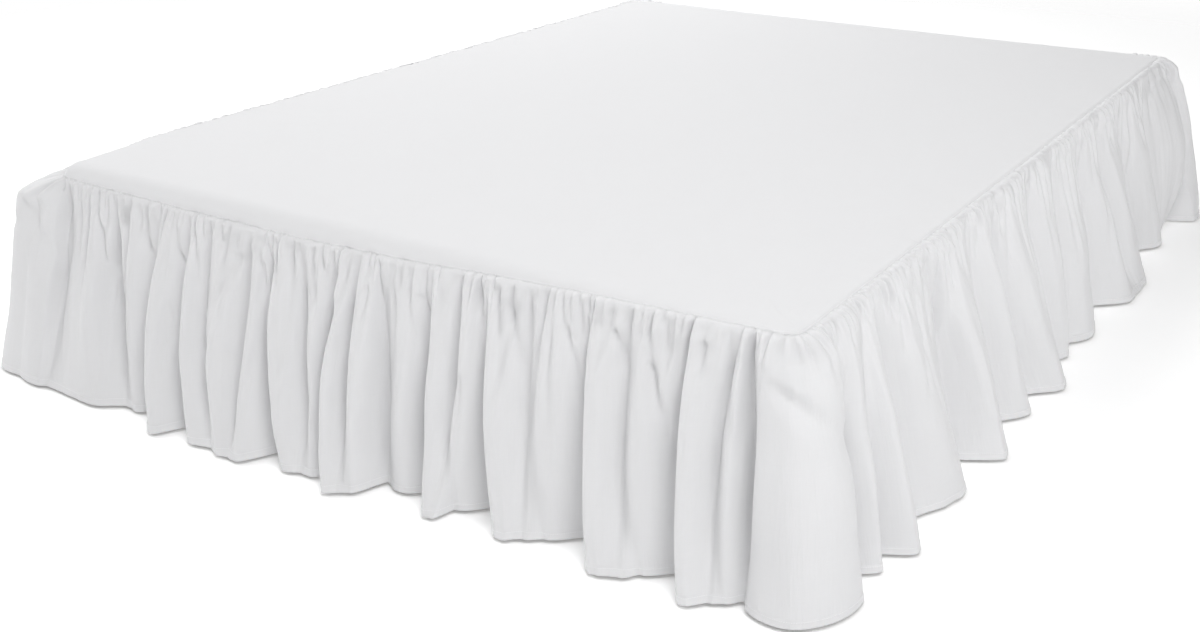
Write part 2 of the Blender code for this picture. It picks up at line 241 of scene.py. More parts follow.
# ---- legs ---------------------------------------------------------------------------------------
# Six turned beech legs under the base, tapered, with a collar at the top.  They are lacquered, so
# the grain shows through a soft gloss.
BEECH_PALE = (0.66, 0.47, 0.30)
BEECH_DARK = (0.50, 0.33, 0.19)
LEG_TOP_RADIUS = 0.030
LEG_FOOT_RADIUS = 0.024
LEG_COLLAR = 0.012
LEG_ROUND = 0.003
LEG_SIDES = 48

beech = Finish("lacquered beech", Roughness=0.42, Coat_Weight=0.25, Coat_Roughness=0.25)
beech_place = beech.node("ShaderNodeTexCoord", output=3)
beech_grain = beech.mottle(beech.stretched(beech_place, (1, 1, 0.06)), 160.0, 4.0)
beech_flecks = beech.mottle(beech.stretched(beech_place, (1, 1, 0.15)), 900.0, 1.0)
beech.feed(beech.shader, {
    "Base Color": beech.blend(beech_grain * 0.7 + beech_flecks * 0.3, BEECH_PALE, BEECH_DARK),
})
beech.relief(beech_grain, 0.0002)


def turned_leg(low, high):
    """A leg spun from its profile, round the middle of its CAD solid."""
    builder = bmesh.new()
    axis = (low + high) / 2
    height = high.z - low.z
    profile = [
        (0, 0),
        (LEG_FOOT_RADIUS - LEG_ROUND, 0),
        (LEG_FOOT_RADIUS, LEG_ROUND),
        (LEG_TOP_RADIUS - LEG_ROUND, height - LEG_COLLAR - LEG_ROUND),
        (LEG_TOP_RADIUS - LEG_ROUND, height - LEG_COLLAR),
        (LEG_TOP_RADIUS, height - LEG_COLLAR + LEG_ROUND),
        (LEG_TOP_RADIUS, height - LEG_ROUND),
        (LEG_TOP_RADIUS - LEG_ROUND, height),
        (0, height),
    ]
    points = [builder.verts.new((axis.x + out, axis.y, low.z + up)) for out, up in profile]
    edges = [builder.edges.new(pair) for pair in zip(points, points[1:])]
    bmesh.ops.spin(builder, geom=points + edges, cent=axis, axis=(0, 0, 1), angle=2 * math.pi,
                   steps=LEG_SIDES, use_merge=True)
    bmesh.ops.remove_doubles(builder, verts=builder.verts, dist=1e-6)
    bmesh.ops.recalc_face_normals(builder, faces=builder.faces)
    return builder


for number in range(1, 7):
    leg = solid_object(f"turned_leg_{number}", turned_leg(*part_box(f"leg_{number}")), beech)
    leg.data.set_sharp_from_angle(angle=math.radians(35))
    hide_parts(f"leg_{number}")
    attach(leg, "root")


# ---- deck ---------------------------------------------------------------------------------------
# One flat panel of plain-woven white cotton that lies on the base.  Its edges roll down over the
# base's own soft edge, and the ruffles' gathers pucker it along the seam.
DECK_WIDTH = 1.524          # across the bed, seam to seam
DECK_LENGTH = 2.032         # head to foot
CORNER_RADIUS = 0.030       # the deck's corners, seen from above
EDGE_ROLL = 0.036           # radius of the deck's edge as it turns down
CLOTH = 0.0012              # one ply, with its seam or hem
GAP = 0.0003                # between pieces that touch
DECK_STEP = 0.006           # columns along the deck's edge
DECK_ROWS = (0, 0.0015, 0.003, 0.005, 0.0075, 0.0105, 0.014, 0.018, 0.023, 0.029, 0.036, 0.044,
             0.052, 0.060, 0.070, 0.081, 0.093, 0.106, 0.120)
DECK_CUT = 0.085            # spacing of the cuts across the deck's middle
PUCKER_DEPTH = 0.0022
PUCKER_PITCH = 0.014
PUCKER_FADE = 0.016         # how far from the seam a pucker dies away
DRAG_DEPTH = 0.0024         # longer drag lines where the gathers pull the panel askew
DRAG_PITCH = 0.024
DRAG_FADE = 0.045
DRAG_START = 0.012          # distance from the seam by which they are full
DRAG_GROUP = 0.26           # spacing of the places where they gather
SEAM_DIP = 0.0006           # the gathers draw the panel in just before the seam
SEAM_DIP_WIDTH = 0.018
DECK_EASE = 0.0014          # slackness of the panel's middle
THREAD_PITCH = 0.0005

deck_low, deck_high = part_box("deck_panel")
deck_top = deck_high.z
bed_middle = (deck_low + deck_high) / 2

SeamDrop = namedtuple("SeamDrop", "run drop")
FOOT_SEAM = [
    SeamDrop(-0.0851, 0.014),
    SeamDrop(0.00, 0.025),
    SeamDrop(0.08, 0.029),
    SeamDrop(0.40, 0.034),
    SeamDrop(0.65, 0.034),
    SeamDrop(0.86, 0.028),
    SeamDrop(1.05, 0.018),
    SeamDrop(1.22, 0.012),
    SeamDrop(1.39, 0.008),
    SeamDrop(1.55, 0.003),
]
RIGHT_SEAM = [SeamDrop(0.00, 0.003)]
HEAD_SEAM = [
    SeamDrop(0.15, 0.003),
    SeamDrop(0.40, 0.008),
    SeamDrop(1.10, 0.008),
    SeamDrop(1.35, 0.003),
]
LEFT_SEAM = [SeamDrop(1.82, 0.003), SeamDrop(1.934, 0.014), SeamDrop(2.0191, 0.025)]

CORNER_ARC = CORNER_RADIUS * math.pi / 2
Side = namedtuple("Side", "start along outward length seam")
FOOT = Side((-DECK_WIDTH / 2, -DECK_LENGTH / 2), (1, 0), (0, -1), DECK_WIDTH, FOOT_SEAM)
RIGHT = Side((DECK_WIDTH / 2, -DECK_LENGTH / 2), (0, 1), (1, 0), DECK_LENGTH, RIGHT_SEAM)
HEAD = Side((DECK_WIDTH / 2, DECK_LENGTH / 2), (-1, 0), (0, 1), DECK_WIDTH, HEAD_SEAM)
LEFT = Side((-DECK_WIDTH / 2, DECK_LENGTH / 2), (0, -1), (-1, 0), DECK_LENGTH, LEFT_SEAM)


def mix(first, second, part):
    return first + (second - first) * part


def place(side, run, reach):
    """Point on the plan at a run along the side, turning its corners when the run goes past them.

    A reach below 0 is an inset on the deck, where the corners tighten and never cross over."""
    first_turn = CORNER_RADIUS
    last_turn = side.length - CORNER_RADIUS
    along, out = side.along, side.outward
    radius = CORNER_RADIUS + reach if reach > 0 else CORNER_RADIUS * math.exp(reach / CORNER_RADIUS)
    corner = radius - reach
    if run < first_turn:
        centre, turn = corner, max((run - first_turn) / CORNER_RADIUS, -math.pi / 2)
        beyond = min(run - first_turn + CORNER_ARC, 0)
    elif run > last_turn:
        centre, turn = side.length - corner, min((run - last_turn) / CORNER_RADIUS, math.pi / 2)
        beyond = max(run - last_turn - CORNER_ARC, 0)
    else:
        turn, beyond = 0, 0
        centre = mix(corner, side.length - corner, (run - first_turn) / (last_turn - first_turn))
    sideways = centre + radius * math.sin(turn)
    outwards = -corner + radius * math.cos(turn) - abs(beyond)
    x = bed_middle.x + side.start[0] + along[0] * sideways + out[0] * outwards
    y = bed_middle.y + side.start[1] + along[1] * sideways + out[1] * outwards
    return x, y


def seam_drop(side, run):
    """Depth of the seam below the deck's top, eased between the table's rows."""
    rows = side.seam
    if run <= rows[0].run:
        return rows[0].drop
    for low, high in zip(rows, rows[1:]):
        if run <= high.run:
            return mix(low.drop, high.drop, (run - low.run) / (high.run - low.run))
    return rows[-1].drop


def roll_angle(drop):
    """How far the deck's edge has turned down where the seam lies this deep."""
    return math.acos(1 - drop / EDGE_ROLL)


def ripple(value, pitch, strand):
    """Uneven waves between about -1 and 1, one for each pitch, unlike those of another strand."""
    return 1.8 * noise.noise(Vector((value / pitch, strand * 7.3, 0.5)))


def sheet_grid(columns, rows, locate, unroll):
    """A grid of cloth, each point placed, with its place on the flat cloth as its UV."""
    builder = bmesh.new()
    bmesh.ops.create_grid(builder, x_segments=columns - 1, y_segments=rows - 1, size=0.5)
    layer = builder.loops.layers.uv.new("cloth")
    spots = {}
    for point in builder.verts:
        column = round((point.co.x + 0.5) * (columns - 1))
        row = round((0.5 - point.co.y) * (rows - 1))
        spots[point] = unroll(column, row)
        point.co = locate(column, row)
    for face in builder.faces:
        for loop in face.loops:
            loop[layer].uv = spots[loop.vert]
    return builder


def side_stations(side):
    """Runs of the deck's edge points, from the start of a side's first corner to its last."""
    first, last = CORNER_RADIUS - CORNER_ARC, side.length - CORNER_RADIUS
    steps = round((last - first) / DECK_STEP)
    return [mix(first, last, step / steps) for step in range(steps)]


edge_ring = [(side, run) for side in (FOOT, RIGHT, HEAD, LEFT) for run in side_stations(side)]


def edge_point(column, row):
    """Reach and height of the deck's sheet at one of its rows, and its reach if laid flat."""
    side, run = edge_ring[column % len(edge_ring)]
    from_seam = DECK_ROWS[row]
    angle = roll_angle(seam_drop(side, run))
    here = max(angle - from_seam / EDGE_ROLL, 0)
    flat = max(from_seam - EDGE_ROLL * angle, 0)
    inset = EDGE_ROLL * (math.sin(angle) - math.sin(here)) + flat
    height = deck_top - EDGE_ROLL * (1 - math.cos(here))
    laid_flat = EDGE_ROLL * (angle - math.sin(angle)) - from_seam
    fade = math.exp(-from_seam / PUCKER_FADE) * min(0.3 + from_seam / 0.003, 1)
    strength = 0.55 + 0.45 * ripple(run, 0.21, side.length)
    lift = PUCKER_DEPTH * fade * strength * ripple(run, PUCKER_PITCH, side.outward[0] + 2)
    if from_seam < SEAM_DIP_WIDTH:
        lift -= SEAM_DIP * math.sin(math.pi * from_seam / SEAM_DIP_WIDTH) ** 2
    drag = max(ripple(run, DRAG_GROUP, 5), 0) * min(from_seam / DRAG_START, 1)
    drag *= math.exp(-from_seam / DRAG_FADE) * (1 - from_seam / DECK_ROWS[-1])
    lift += DRAG_DEPTH * drag * ripple(run + 0.35 * from_seam, DRAG_PITCH, side.outward[1] + 4)
    if side is HEAD:
        lift = 0
    height -= abs(lift) * 0.2 + lift * math.cos(here)
    return side, run, inset - lift * math.sin(here), height, laid_flat


def deck_spot(column, row):
    side, run, inset, height, _ = edge_point(column, row)
    return (*place(side, run, -inset), height)


def deck_unrolled(column, row):
    side, run, _, _, laid_flat = edge_point(column, row)
    return place(side, run, laid_flat)


builder = sheet_grid(len(edge_ring) + 1, len(DECK_ROWS), deck_spot, deck_unrolled)
bmesh.ops.remove_doubles(builder, verts=builder.verts, dist=GAP / 10)
inner_edges = [edge for edge in builder.edges
               if edge.is_boundary and all(v.co.z > deck_top - GAP for v in edge.verts)]
middle = bmesh.ops.contextual_create(builder, geom=inner_edges)["faces"]
cuts = [(Vector((1, 0, 0)), DECK_WIDTH), (Vector((0, 1, 0)), DECK_LENGTH)]
for direction, extent in cuts:
    count = round(extent / DECK_CUT)
    for cut in range(1, count):
        geometry = {*middle}
        for face in middle:
            geometry.update(face.edges, face.verts)
        spot = bed_middle + direction * extent * (cut / count - 0.5)
        made = bmesh.ops.bisect_plane(builder, geom=list(geometry), plane_co=spot,
                                      plane_no=direction)
        middle = [item for item in made["geom"] if isinstance(item, bmesh.types.BMFace)]
deck_uv = builder.loops.layers.uv["cloth"]
for face in middle:
    for loop in face.loops:
        loop[deck_uv].uv = loop.vert.co.xy
inner = {vert for face in middle for vert in face.verts}
inner -= {vert for vert in inner if any(face not in middle for face in vert.link_faces)}
for vert in inner:
    edge_distance = min(DECK_WIDTH / 2 - abs(vert.co.x - bed_middle.x),
                        DECK_LENGTH / 2 - abs(vert.co.y - bed_middle.y))
    slack = min(edge_distance / 0.2, 1) * (0.5 + 0.5 * ripple(vert.co.x, 0.23, vert.co.y))
    vert.co.z -= DECK_EASE * slack
bmesh.ops.recalc_face_normals(builder, faces=builder.faces)

COTTON_WHITE = (0.675, 0.675, 0.684)
COTTON_SHADE = (0.640, 0.640, 0.649)


def cotton_finish(name, crumple, depth):
    """White sheeting: a plain weave with slubs, and soft crumples of a size across and down."""
    cotton = Finish(name, Roughness=0.88, Sheen_Weight=0.12, Sheen_Roughness=0.45)
    cloth = cotton.node("ShaderNodeUVMap", {"uv_map": "cloth"})
    across, down, _ = cotton.parts(cloth)
    thread = 2 * math.pi / THREAD_PITCH
    weave = cotton.wave(across * thread) * cotton.wave(down * thread) * 0.5 + 0.5
    warp = cotton.mottle(cotton.stretched(cloth, (1, 0.03, 1)), 800.0, 1.0)
    weft = cotton.mottle(cotton.stretched(cloth, (0.03, 1, 1)), 800.0, 1.0)
    slub = (warp + weft) * 0.5
    creases = cotton.mottle(cotton.stretched(cloth, (1 / crumple[0], 1 / crumple[1], 1)), 1.0, 3.0)
    cotton.feed(cotton.shader, {"Base Color": cotton.blend(slub, COTTON_SHADE, COTTON_WHITE)})
    cotton.relief(creases * 0.93 + slub * 0.05 + weave * 0.02, depth)
    return cotton


deck_cotton = cotton_finish("deck cotton", (0.10, 0.13), 0.0022)


def cloth_object(name, builder, finish):
    """A sheet of cloth with its thickness on its inner side."""
    piece = solid_object(name, builder, finish)
    ply = piece.modifiers.new("ply", "SOLIDIFY")
    ply.thickness = CLOTH
    ply.offset = -1
    ply.use_even_offset = False
    return piece


deck_sheet = cloth_object("deck_sheet", builder, deck_cotton)
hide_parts("deck_panel")
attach(deck_sheet, "root")


# ---- stitching ----------------------------------------------------------------------------------
# White thread: a row of top stitching beside the seam, which holds the gathers down, and
# one along the hems.  Each stitch is a short thread that dips into the cloth at both ends.
STITCH_LENGTH = 0.0026
STITCH_PITCH = 0.0034
STITCH_WIDTH = 0.0006
STITCH_HEIGHT = 0.0005
TOP_STITCH_ROW = 3          # of DECK_ROWS, inside the seam

thread = Finish("sewing thread", Base_Color=(0.86, 0.86, 0.87, 1), Roughness=0.6, Sheen_Weight=0.2)
thread_place = thread.node("ShaderNodeTexCoord", output=3)
thread.relief(thread.mottle(thread_place, 4000.0, 1.0), 0.0001)


def stitches(name, points):
    """Stitches at an even pitch along a line of points."""
    builder = bmesh.new()
    travelled, due = 0, STITCH_PITCH
    for start, end in zip(points, points[1:]):
        step = end - start
        while travelled + step.length >= due:
            spot = start + step * ((due - travelled) / step.length)
            turn = step.to_track_quat("X", "Z").to_matrix().to_4x4()
            size = Matrix.Diagonal((STITCH_LENGTH, STITCH_WIDTH, STITCH_HEIGHT, 1))
            bmesh.ops.create_icosphere(builder, subdivisions=1, radius=0.5,
                                       matrix=Matrix.Translation(spot) @ turn @ size)
            due += STITCH_PITCH
        travelled += step.length
    piece = solid_object(name, builder, thread)
    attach(piece, "root")
    return piece


top_line = [Vector(deck_spot(column, TOP_STITCH_ROW)) for column in range(len(edge_ring) + 1)]
top_stitching = stitches("top_stitching", top_line)


# ---- ruffles ------------------------------------------------------------------------------------
# Three lengths of the same cotton, gathered on a thread, sewn to the deck's edge and hemmed with a
# double fold.  The foot's is cut about 1.8 times as wide as its seam, and the sides' about 1.3
# times.  The foot's ruffle turns both corners, and the side ruffles meet its ends in a trough.
HEM_HEIGHT = 0.007          # floor to the ruffle's lower edge
SHOULDER_DROP = 0.030       # below the seam, where the ruffle's first swell ends
SHOULDER_FLAT = 0.030       # reach of that swell under an edge that stays level
SHOULDER_ROLLED = 0.017     # and under an edge that has turned right down
MIDDLE_DROP = 0.20          # depth below the deck's top at which the tables' middle lies
FOLD_STEP = 0.0033          # columns along the hem
ROW_COUNT = 48
ROW_CROWDING = 1.5          # rows crowd towards the seam
HEM_DEPTH = 0.012           # of the double fold
HEM_ROWS = (0.0145, 0.0128, 0.0116, 0.0105, 0.0070, 0.0035, 0.0008, 0)
HEM_STITCH_ROW = 3          # of HEM_ROWS
HEM_SWELL = 0.0009          # how far the hem's extra plies stand out
HEM_PUCKER = 0.0006
HEM_PUCKER_PITCH = 0.012

# Crests and troughs in turn, each from the seam down to the hem.  seam, middle and hem are runs;
# top_out, middle_out and hem_out are how far it reaches at the shoulder, half-way and at the hem.
# Without a top_out the fold starts in the full swell below the seam, and a negative one is a share
# of that swell.
Fold = namedtuple("Fold", "seam middle hem middle_out hem_out top_out", defaults=[0])
FOOT_FOLDS = [
    Fold(-0.085, -0.085, -0.085, 0.050, 0.072),
    Fold(0.006, 0.005, 0.005, 0.126, 0.169, 0.090),
    Fold(0.018, 0.018, 0.018, 0.100, 0.136, 0.060),
    Fold(0.034, 0.040, 0.047, 0.074, 0.126),
    Fold(0.130, 0.140, 0.172, 0.086, 0.137),
    Fold(0.172, 0.183, 0.243, 0.046, 0.106),
    Fold(0.212, 0.232, 0.272, 0.066, 0.110),
    Fold(0.282, 0.275, 0.308, 0.045, 0.088),
    Fold(0.305, 0.310, 0.360, 0.088, 0.157),
    Fold(0.368, 0.366, 0.410, 0.046, 0.090),
    Fold(0.384, 0.394, 0.452, 0.088, 0.145),
    Fold(0.410, 0.420, 0.495, 0.068, 0.136),
    Fold(0.462, 0.465, 0.528, 0.086, 0.150),
    Fold(0.512, 0.507, 0.545, 0.054, 0.146),
    Fold(0.542, 0.540, 0.562, 0.078, 0.150),
    Fold(0.566, 0.570, 0.612, 0.044, 0.082),
    Fold(0.583, 0.602, 0.662, 0.086, 0.130),
    Fold(0.622, 0.655, 0.690, 0.060, 0.116),
    Fold(0.672, 0.678, 0.710, 0.068, 0.117),
    Fold(0.706, 0.698, 0.738, 0.046, 0.094),
    Fold(0.720, 0.723, 0.766, 0.086, 0.148),
    Fold(0.746, 0.750, 0.786, 0.066, 0.130),
    Fold(0.772, 0.778, 0.803, 0.082, 0.126),
    Fold(0.798, 0.815, 0.832, 0.044, 0.068),
    Fold(0.862, 0.868, 0.872, 0.066, 0.080),
    Fold(0.905, 0.902, 0.910, 0.038, 0.058),
    Fold(0.918, 0.928, 0.952, 0.070, 0.117),
    Fold(0.958, 0.962, 0.966, 0.056, 0.116),
    Fold(0.985, 0.983, 0.980, 0.068, 0.078),
    Fold(1.013, 1.020, 1.036, 0.034, 0.038),
    Fold(1.026, 1.044, 1.088, 0.072, 0.114),
    Fold(1.098, 1.097, 1.120, 0.052, 0.094),
    Fold(1.135, 1.136, 1.150, 0.062, 0.074),
    Fold(1.193, 1.203, 1.206, 0.028, 0.032),
    Fold(1.202, 1.222, 1.262, 0.070, 0.117),
    Fold(1.272, 1.267, 1.300, 0.050, 0.100),
    Fold(1.310, 1.303, 1.325, 0.060, 0.078),
    Fold(1.362, 1.360, 1.370, 0.034, 0.048),
    Fold(1.370, 1.379, 1.412, 0.072, 0.114),
    Fold(1.440, 1.425, 1.445, 0.054, 0.090),
    Fold(1.450, 1.450, 1.462, 0.062, 0.078),
    Fold(1.459, 1.477, 1.484, 0.038, 0.058),
    Fold(1.514, 1.515, 1.516, 0.088, 0.107, 0.050),
    Fold(1.570, 1.585, 1.594, 0.044, 0.066),
    Fold(1.614, 1.619, 1.626, 0.066, 0.094),
    Fold(1.652, 1.657, 1.661, 0.046, 0.070),
]
# The foot's ruffle turns both corners, and the side ruffles meet its two ends.
RIGHT_FOLDS = [
    Fold(0.165, 0.175, 0.190, 0.080, 0.124),
    Fold(0.215, 0.245, 0.255, 0.045, 0.065),
    Fold(0.300, 0.335, 0.390, 0.076, 0.120),
    Fold(0.410, 0.485, 0.485, 0.034, 0.060),
    Fold(0.480, 0.530, 0.548, 0.082, 0.136),
    Fold(0.620, 0.640, 0.665, 0.055, 0.080),
    Fold(0.660, 0.688, 0.730, 0.078, 0.121),
    Fold(0.700, 0.735, 0.795, 0.055, 0.086),
    Fold(0.810, 0.832, 0.870, 0.085, 0.140),
    Fold(0.930, 0.948, 0.970, 0.060, 0.090),
    Fold(0.990, 1.000, 1.018, 0.076, 0.106),
    Fold(1.080, 1.075, 1.060, 0.044, 0.080),
    Fold(1.150, 1.142, 1.137, 0.078, 0.120),
    Fold(1.260, 1.280, 1.290, 0.050, 0.070),
    Fold(1.335, 1.350, 1.385, 0.080, 0.140),
    Fold(1.375, 1.420, 1.435, 0.044, 0.142),
    Fold(1.440, 1.475, 1.480, 0.076, 0.142),
    Fold(1.570, 1.610, 1.690, 0.056, 0.062),
    Fold(1.680, 1.710, 1.778, 0.078, 0.108),
    Fold(1.790, 1.800, 1.860, 0.062, 0.086),
    Fold(1.960, 1.980, 1.920, 0.098, 0.080),
    Fold(1.990, 2.004, 1.962, 0.072, 0.068, 0.024),
    Fold(2.008, 2.018, 2.018, 0.112, 0.150, 0.050),
    Fold(2.110, 2.110, 2.110, 0.050, 0.072),
]
# The left side runs from the head to the foot, so its first fold turns the head corner.
LEFT_FOLDS = [
    Fold(-0.080, -0.080, -0.080, 0.050, 0.072),
    Fold(0.008, 0.008, 0.008, 0.108, 0.150, 0.055),
    Fold(0.085, 0.090, 0.100, 0.050, 0.070),
    Fold(0.150, 0.165, 0.175, 0.078, 0.118),
    Fold(0.235, 0.240, 0.250, 0.046, 0.066),
    Fold(0.320, 0.310, 0.305, 0.084, 0.138),
    Fold(0.400, 0.385, 0.380, 0.052, 0.078),
    Fold(0.455, 0.440, 0.430, 0.078, 0.112),
    Fold(0.520, 0.510, 0.520, 0.042, 0.062),
    Fold(0.600, 0.605, 0.620, 0.084, 0.146),
    Fold(0.690, 0.700, 0.710, 0.050, 0.082),
    Fold(0.745, 0.750, 0.770, 0.078, 0.118),
    Fold(0.850, 0.845, 0.835, 0.040, 0.060),
    Fold(0.910, 0.920, 0.930, 0.084, 0.132),
    Fold(1.010, 1.015, 1.035, 0.050, 0.080),
    Fold(1.070, 1.080, 1.105, 0.078, 0.112),
    Fold(1.160, 1.165, 1.175, 0.044, 0.064),
    Fold(1.240, 1.250, 1.260, 0.086, 0.144),
    Fold(1.345, 1.340, 1.345, 0.052, 0.084),
    Fold(1.400, 1.400, 1.405, 0.076, 0.110),
    Fold(1.480, 1.485, 1.490, 0.044, 0.064),
    Fold(1.560, 1.565, 1.580, 0.084, 0.134),
    Fold(1.660, 1.665, 1.665, 0.050, 0.078),
    Fold(1.720, 1.730, 1.745, 0.078, 0.116),
    Fold(1.815, 1.815, 1.820, 0.046, 0.070),
    Fold(1.865, 1.870, 1.880, 0.076, 0.108),
]

# Sharper creases between the folds: each runs from a place near the seam down to another.
Crease = namedtuple("Crease", "run drop to_run to_drop width depth")
FOOT_CREASES = [
    Crease(0.100, 0.020, 0.128, 0.330, 0.018, 0.014),
    Crease(0.050, 0.050, 0.060, 0.260, 0.014, 0.010),
    Crease(0.245, 0.050, 0.280, 0.170, 0.012, 0.012),
    Crease(0.330, 0.140, 0.350, 0.380, 0.014, 0.012),
    Crease(0.333, 0.060, 0.370, 0.180, 0.012, 0.012),
    Crease(0.490, 0.040, 0.435, 0.150, 0.012, 0.012),
    Crease(0.548, 0.040, 0.540, 0.150, 0.010, 0.010),
    Crease(0.548, 0.180, 0.555, 0.380, 0.014, 0.010),
    Crease(0.620, 0.050, 0.680, 0.330, 0.014, 0.014),
    Crease(0.660, 0.060, 0.667, 0.130, 0.010, 0.008),
    Crease(0.745, 0.070, 0.745, 0.300, 0.012, 0.010),
    Crease(0.780, 0.040, 0.772, 0.150, 0.010, 0.010),
    Crease(0.830, 0.040, 0.855, 0.230, 0.014, 0.012),
    Crease(0.880, 0.040, 0.905, 0.100, 0.010, 0.010),
    Crease(0.960, 0.030, 0.960, 0.260, 0.012, 0.012),
    Crease(0.985, 0.140, 0.985, 0.310, 0.012, 0.010),
    Crease(1.050, 0.020, 1.085, 0.150, 0.012, 0.012),
    Crease(1.138, 0.030, 1.145, 0.280, 0.014, 0.012),
    Crease(1.160, 0.040, 1.195, 0.150, 0.012, 0.012),
    Crease(1.240, 0.030, 1.268, 0.110, 0.010, 0.012),
    Crease(1.298, 0.050, 1.355, 0.230, 0.014, 0.014),
    Crease(1.390, 0.020, 1.390, 0.080, 0.010, 0.010),
    Crease(1.498, 0.040, 1.558, 0.190, 0.014, 0.012),
]


def curve_through(start, middle, end, middle_part, part):
    """Smooth curve from start to end that passes through middle at middle_part of the way."""
    weight = 2 * middle_part * (1 - middle_part)
    pull = (middle - start * (1 - middle_part) ** 2 - end * middle_part ** 2) / weight
    return start * (1 - part) ** 2 + pull * 2 * part * (1 - part) + end * part ** 2


def carried_on(fold, shift):
    """The same fold, with its runs measured along the neighbouring side."""
    return fold._replace(seam=fold.seam + shift, middle=fold.middle + shift, hem=fold.hem + shift)


def shoulder_of(fold, slope):
    swell = mix(SHOULDER_FLAT, SHOULDER_ROLLED, math.sin(slope))
    return max(swell, fold.top_out) if fold.top_out >= 0 else swell * -fold.top_out


def fold_reach(fold, drop, total_drop, slope):
    """How far a fold's own line stands out at a depth below its seam."""
    shoulder = shoulder_of(fold, slope)
    if drop < SHOULDER_DROP:
        swell = math.sqrt(1 - (1 - drop / SHOULDER_DROP) ** 2)
        hang = 1 - (1 - drop / SHOULDER_DROP) ** 1.7
        return shoulder * mix(swell, hang, math.sin(slope))
    fall = total_drop - SHOULDER_DROP
    middle_part = (MIDDLE_DROP - SHOULDER_DROP) / fall
    part = (drop - SHOULDER_DROP) / fall
    return curve_through(shoulder, fold.middle_out, fold.hem_out, middle_part, part)


def fold_between(low, high, part, sharpness):
    """Reach between two fold lines: round over the crest and tighter in the trough."""
    ease = (1 - math.cos(math.pi * part)) / 2
    if high > low:
        return mix(low, high, ease ** sharpness)
    return mix(high, low, (1 - ease) ** sharpness)


Column = namedtuple("Column", "low high part seam")


def ruffle_columns(side, folds):
    """Columns of cloth between the table's crests and troughs, evenly spaced along the hem."""
    columns = []
    for low, high in zip(folds, folds[1:]):
        width = math.dist(place(side, low.hem, low.hem_out), place(side, high.hem, high.hem_out))
        steps = max(4, round(width / FOLD_STEP))
        for step in range(steps):
            columns.append(Column(low, high, step / steps, mix(low.seam, high.seam, step / steps)))
    return columns + [Column(folds[-2], folds[-1], 1, folds[-1].seam)]


GATHER_PITCH = (0.008, 0.018)   # spacing of the gathers along the seam
GATHER_LENGTH = (0.022, 0.070)  # how far down a gather's crease runs
GATHER_WIDTH = 0.0060
GATHER_DEPTH = 0.0085
PLEAT_PITCH = (0.014, 0.038)    # spacing of the longer creases that some gathers run on into
PLEAT_LENGTH = (0.080, 0.330)
PLEAT_WIDTH = 0.0100
PLEAT_DEPTH = 0.0135
PUFF_HEIGHT = 0.0075            # of the cloth's puffs between the gathers, right below the seam
PUFF_DROP = 0.005
PUFF_FADE = 0.045
SEAM_TUCK = 0.003               # how far a puff swells back over the deck's edge
PUFF_LIFT = 0.8                 # how far a puff rises above the seam, as part of its swell
GATHER_LEAN = 0.18              # sideways, for its length
PLEAT_LEAN = 0.22
DENT_LIMIT = 0.024              # deepest that creases make together where they cross
DENT_START = 0.014              # reach below which a crease has no room for its full depth
WANDER = 0.0050                 # slow unevenness of the hang, and finer unevenness on top of it
FINE_WANDER = 0.0026
WANDER_START = 0.05             # depth by which the unevenness is full
END_FADE = 0.020                # the ends lie smooth where two ruffles meet
FLAT_ROW = ROW_COUNT * 2 // 3   # row along which the flat width is measured


def seam_creases(folds, seed, pitch, length, width, depth, lean):
    """Creases that start at the seam, uneven in spacing, length and lean."""
    chance = random.Random(seed)
    made = []
    run = folds[0].seam
    while run < folds[-1].seam:
        fall = mix(*length, chance.random() ** 1.5)
        end = run + chance.uniform(-lean, lean) * fall
        made.append(Crease(run, 0, end, fall, width, depth * chance.uniform(0.6, 1.3)))
        run += chance.uniform(*pitch)
    return made


def crease_depth(crease, run, drop):
    """Depth of a crease at a point: sharp along its line at the top, softer further down."""
    part = (drop - crease.drop) / (crease.to_drop - crease.drop)
    if not 0 <= part < 1:
        return 0
    width = crease.width * (0.8 + 0.7 * part)
    away = abs(run - mix(crease.run, crease.to_run, part)) / width
    if away >= 1:
        return 0
    softness = min(part * 1.5, 1)
    valley = mix((1 - away) ** 2, (1 - away * away) ** 2, softness)
    fade = (1 - part) ** 0.7 * (1 if crease.drop == 0 else min(part / 0.15, 1))
    return crease.depth * valley * fade


TROUGH_DEPTH = 0.020        # how much further in a trough lies half-way down than its table says
TROUGH_START = 0.45         # of the full swell, where a trough leaves the seam


def deepened(folds):
    """The folds with their troughs pinched deeper half-way down."""
    made = list(folds)
    for index in range(1, len(folds) - 1):
        before, fold, after = folds[index - 1:index + 2]
        if fold.middle_out < min(before.middle_out, after.middle_out) and fold.top_out == 0:
            deep = max(fold.middle_out - TROUGH_DEPTH, 0.022)
            made[index] = fold._replace(middle_out=deep, top_out=-TROUGH_START)
    return made


def puff(gathers, run):
    """Height of the puff between two gathers, from 0 at each gather to 1 between two wide ones."""
    after = bisect.bisect_right(gathers, run)
    if not 0 < after < len(gathers):
        return 0
    width = gathers[after] - gathers[after - 1]
    part = (run - gathers[after - 1]) / width
    return math.sqrt(math.sin(math.pi * part)) * width / GATHER_PITCH[1]


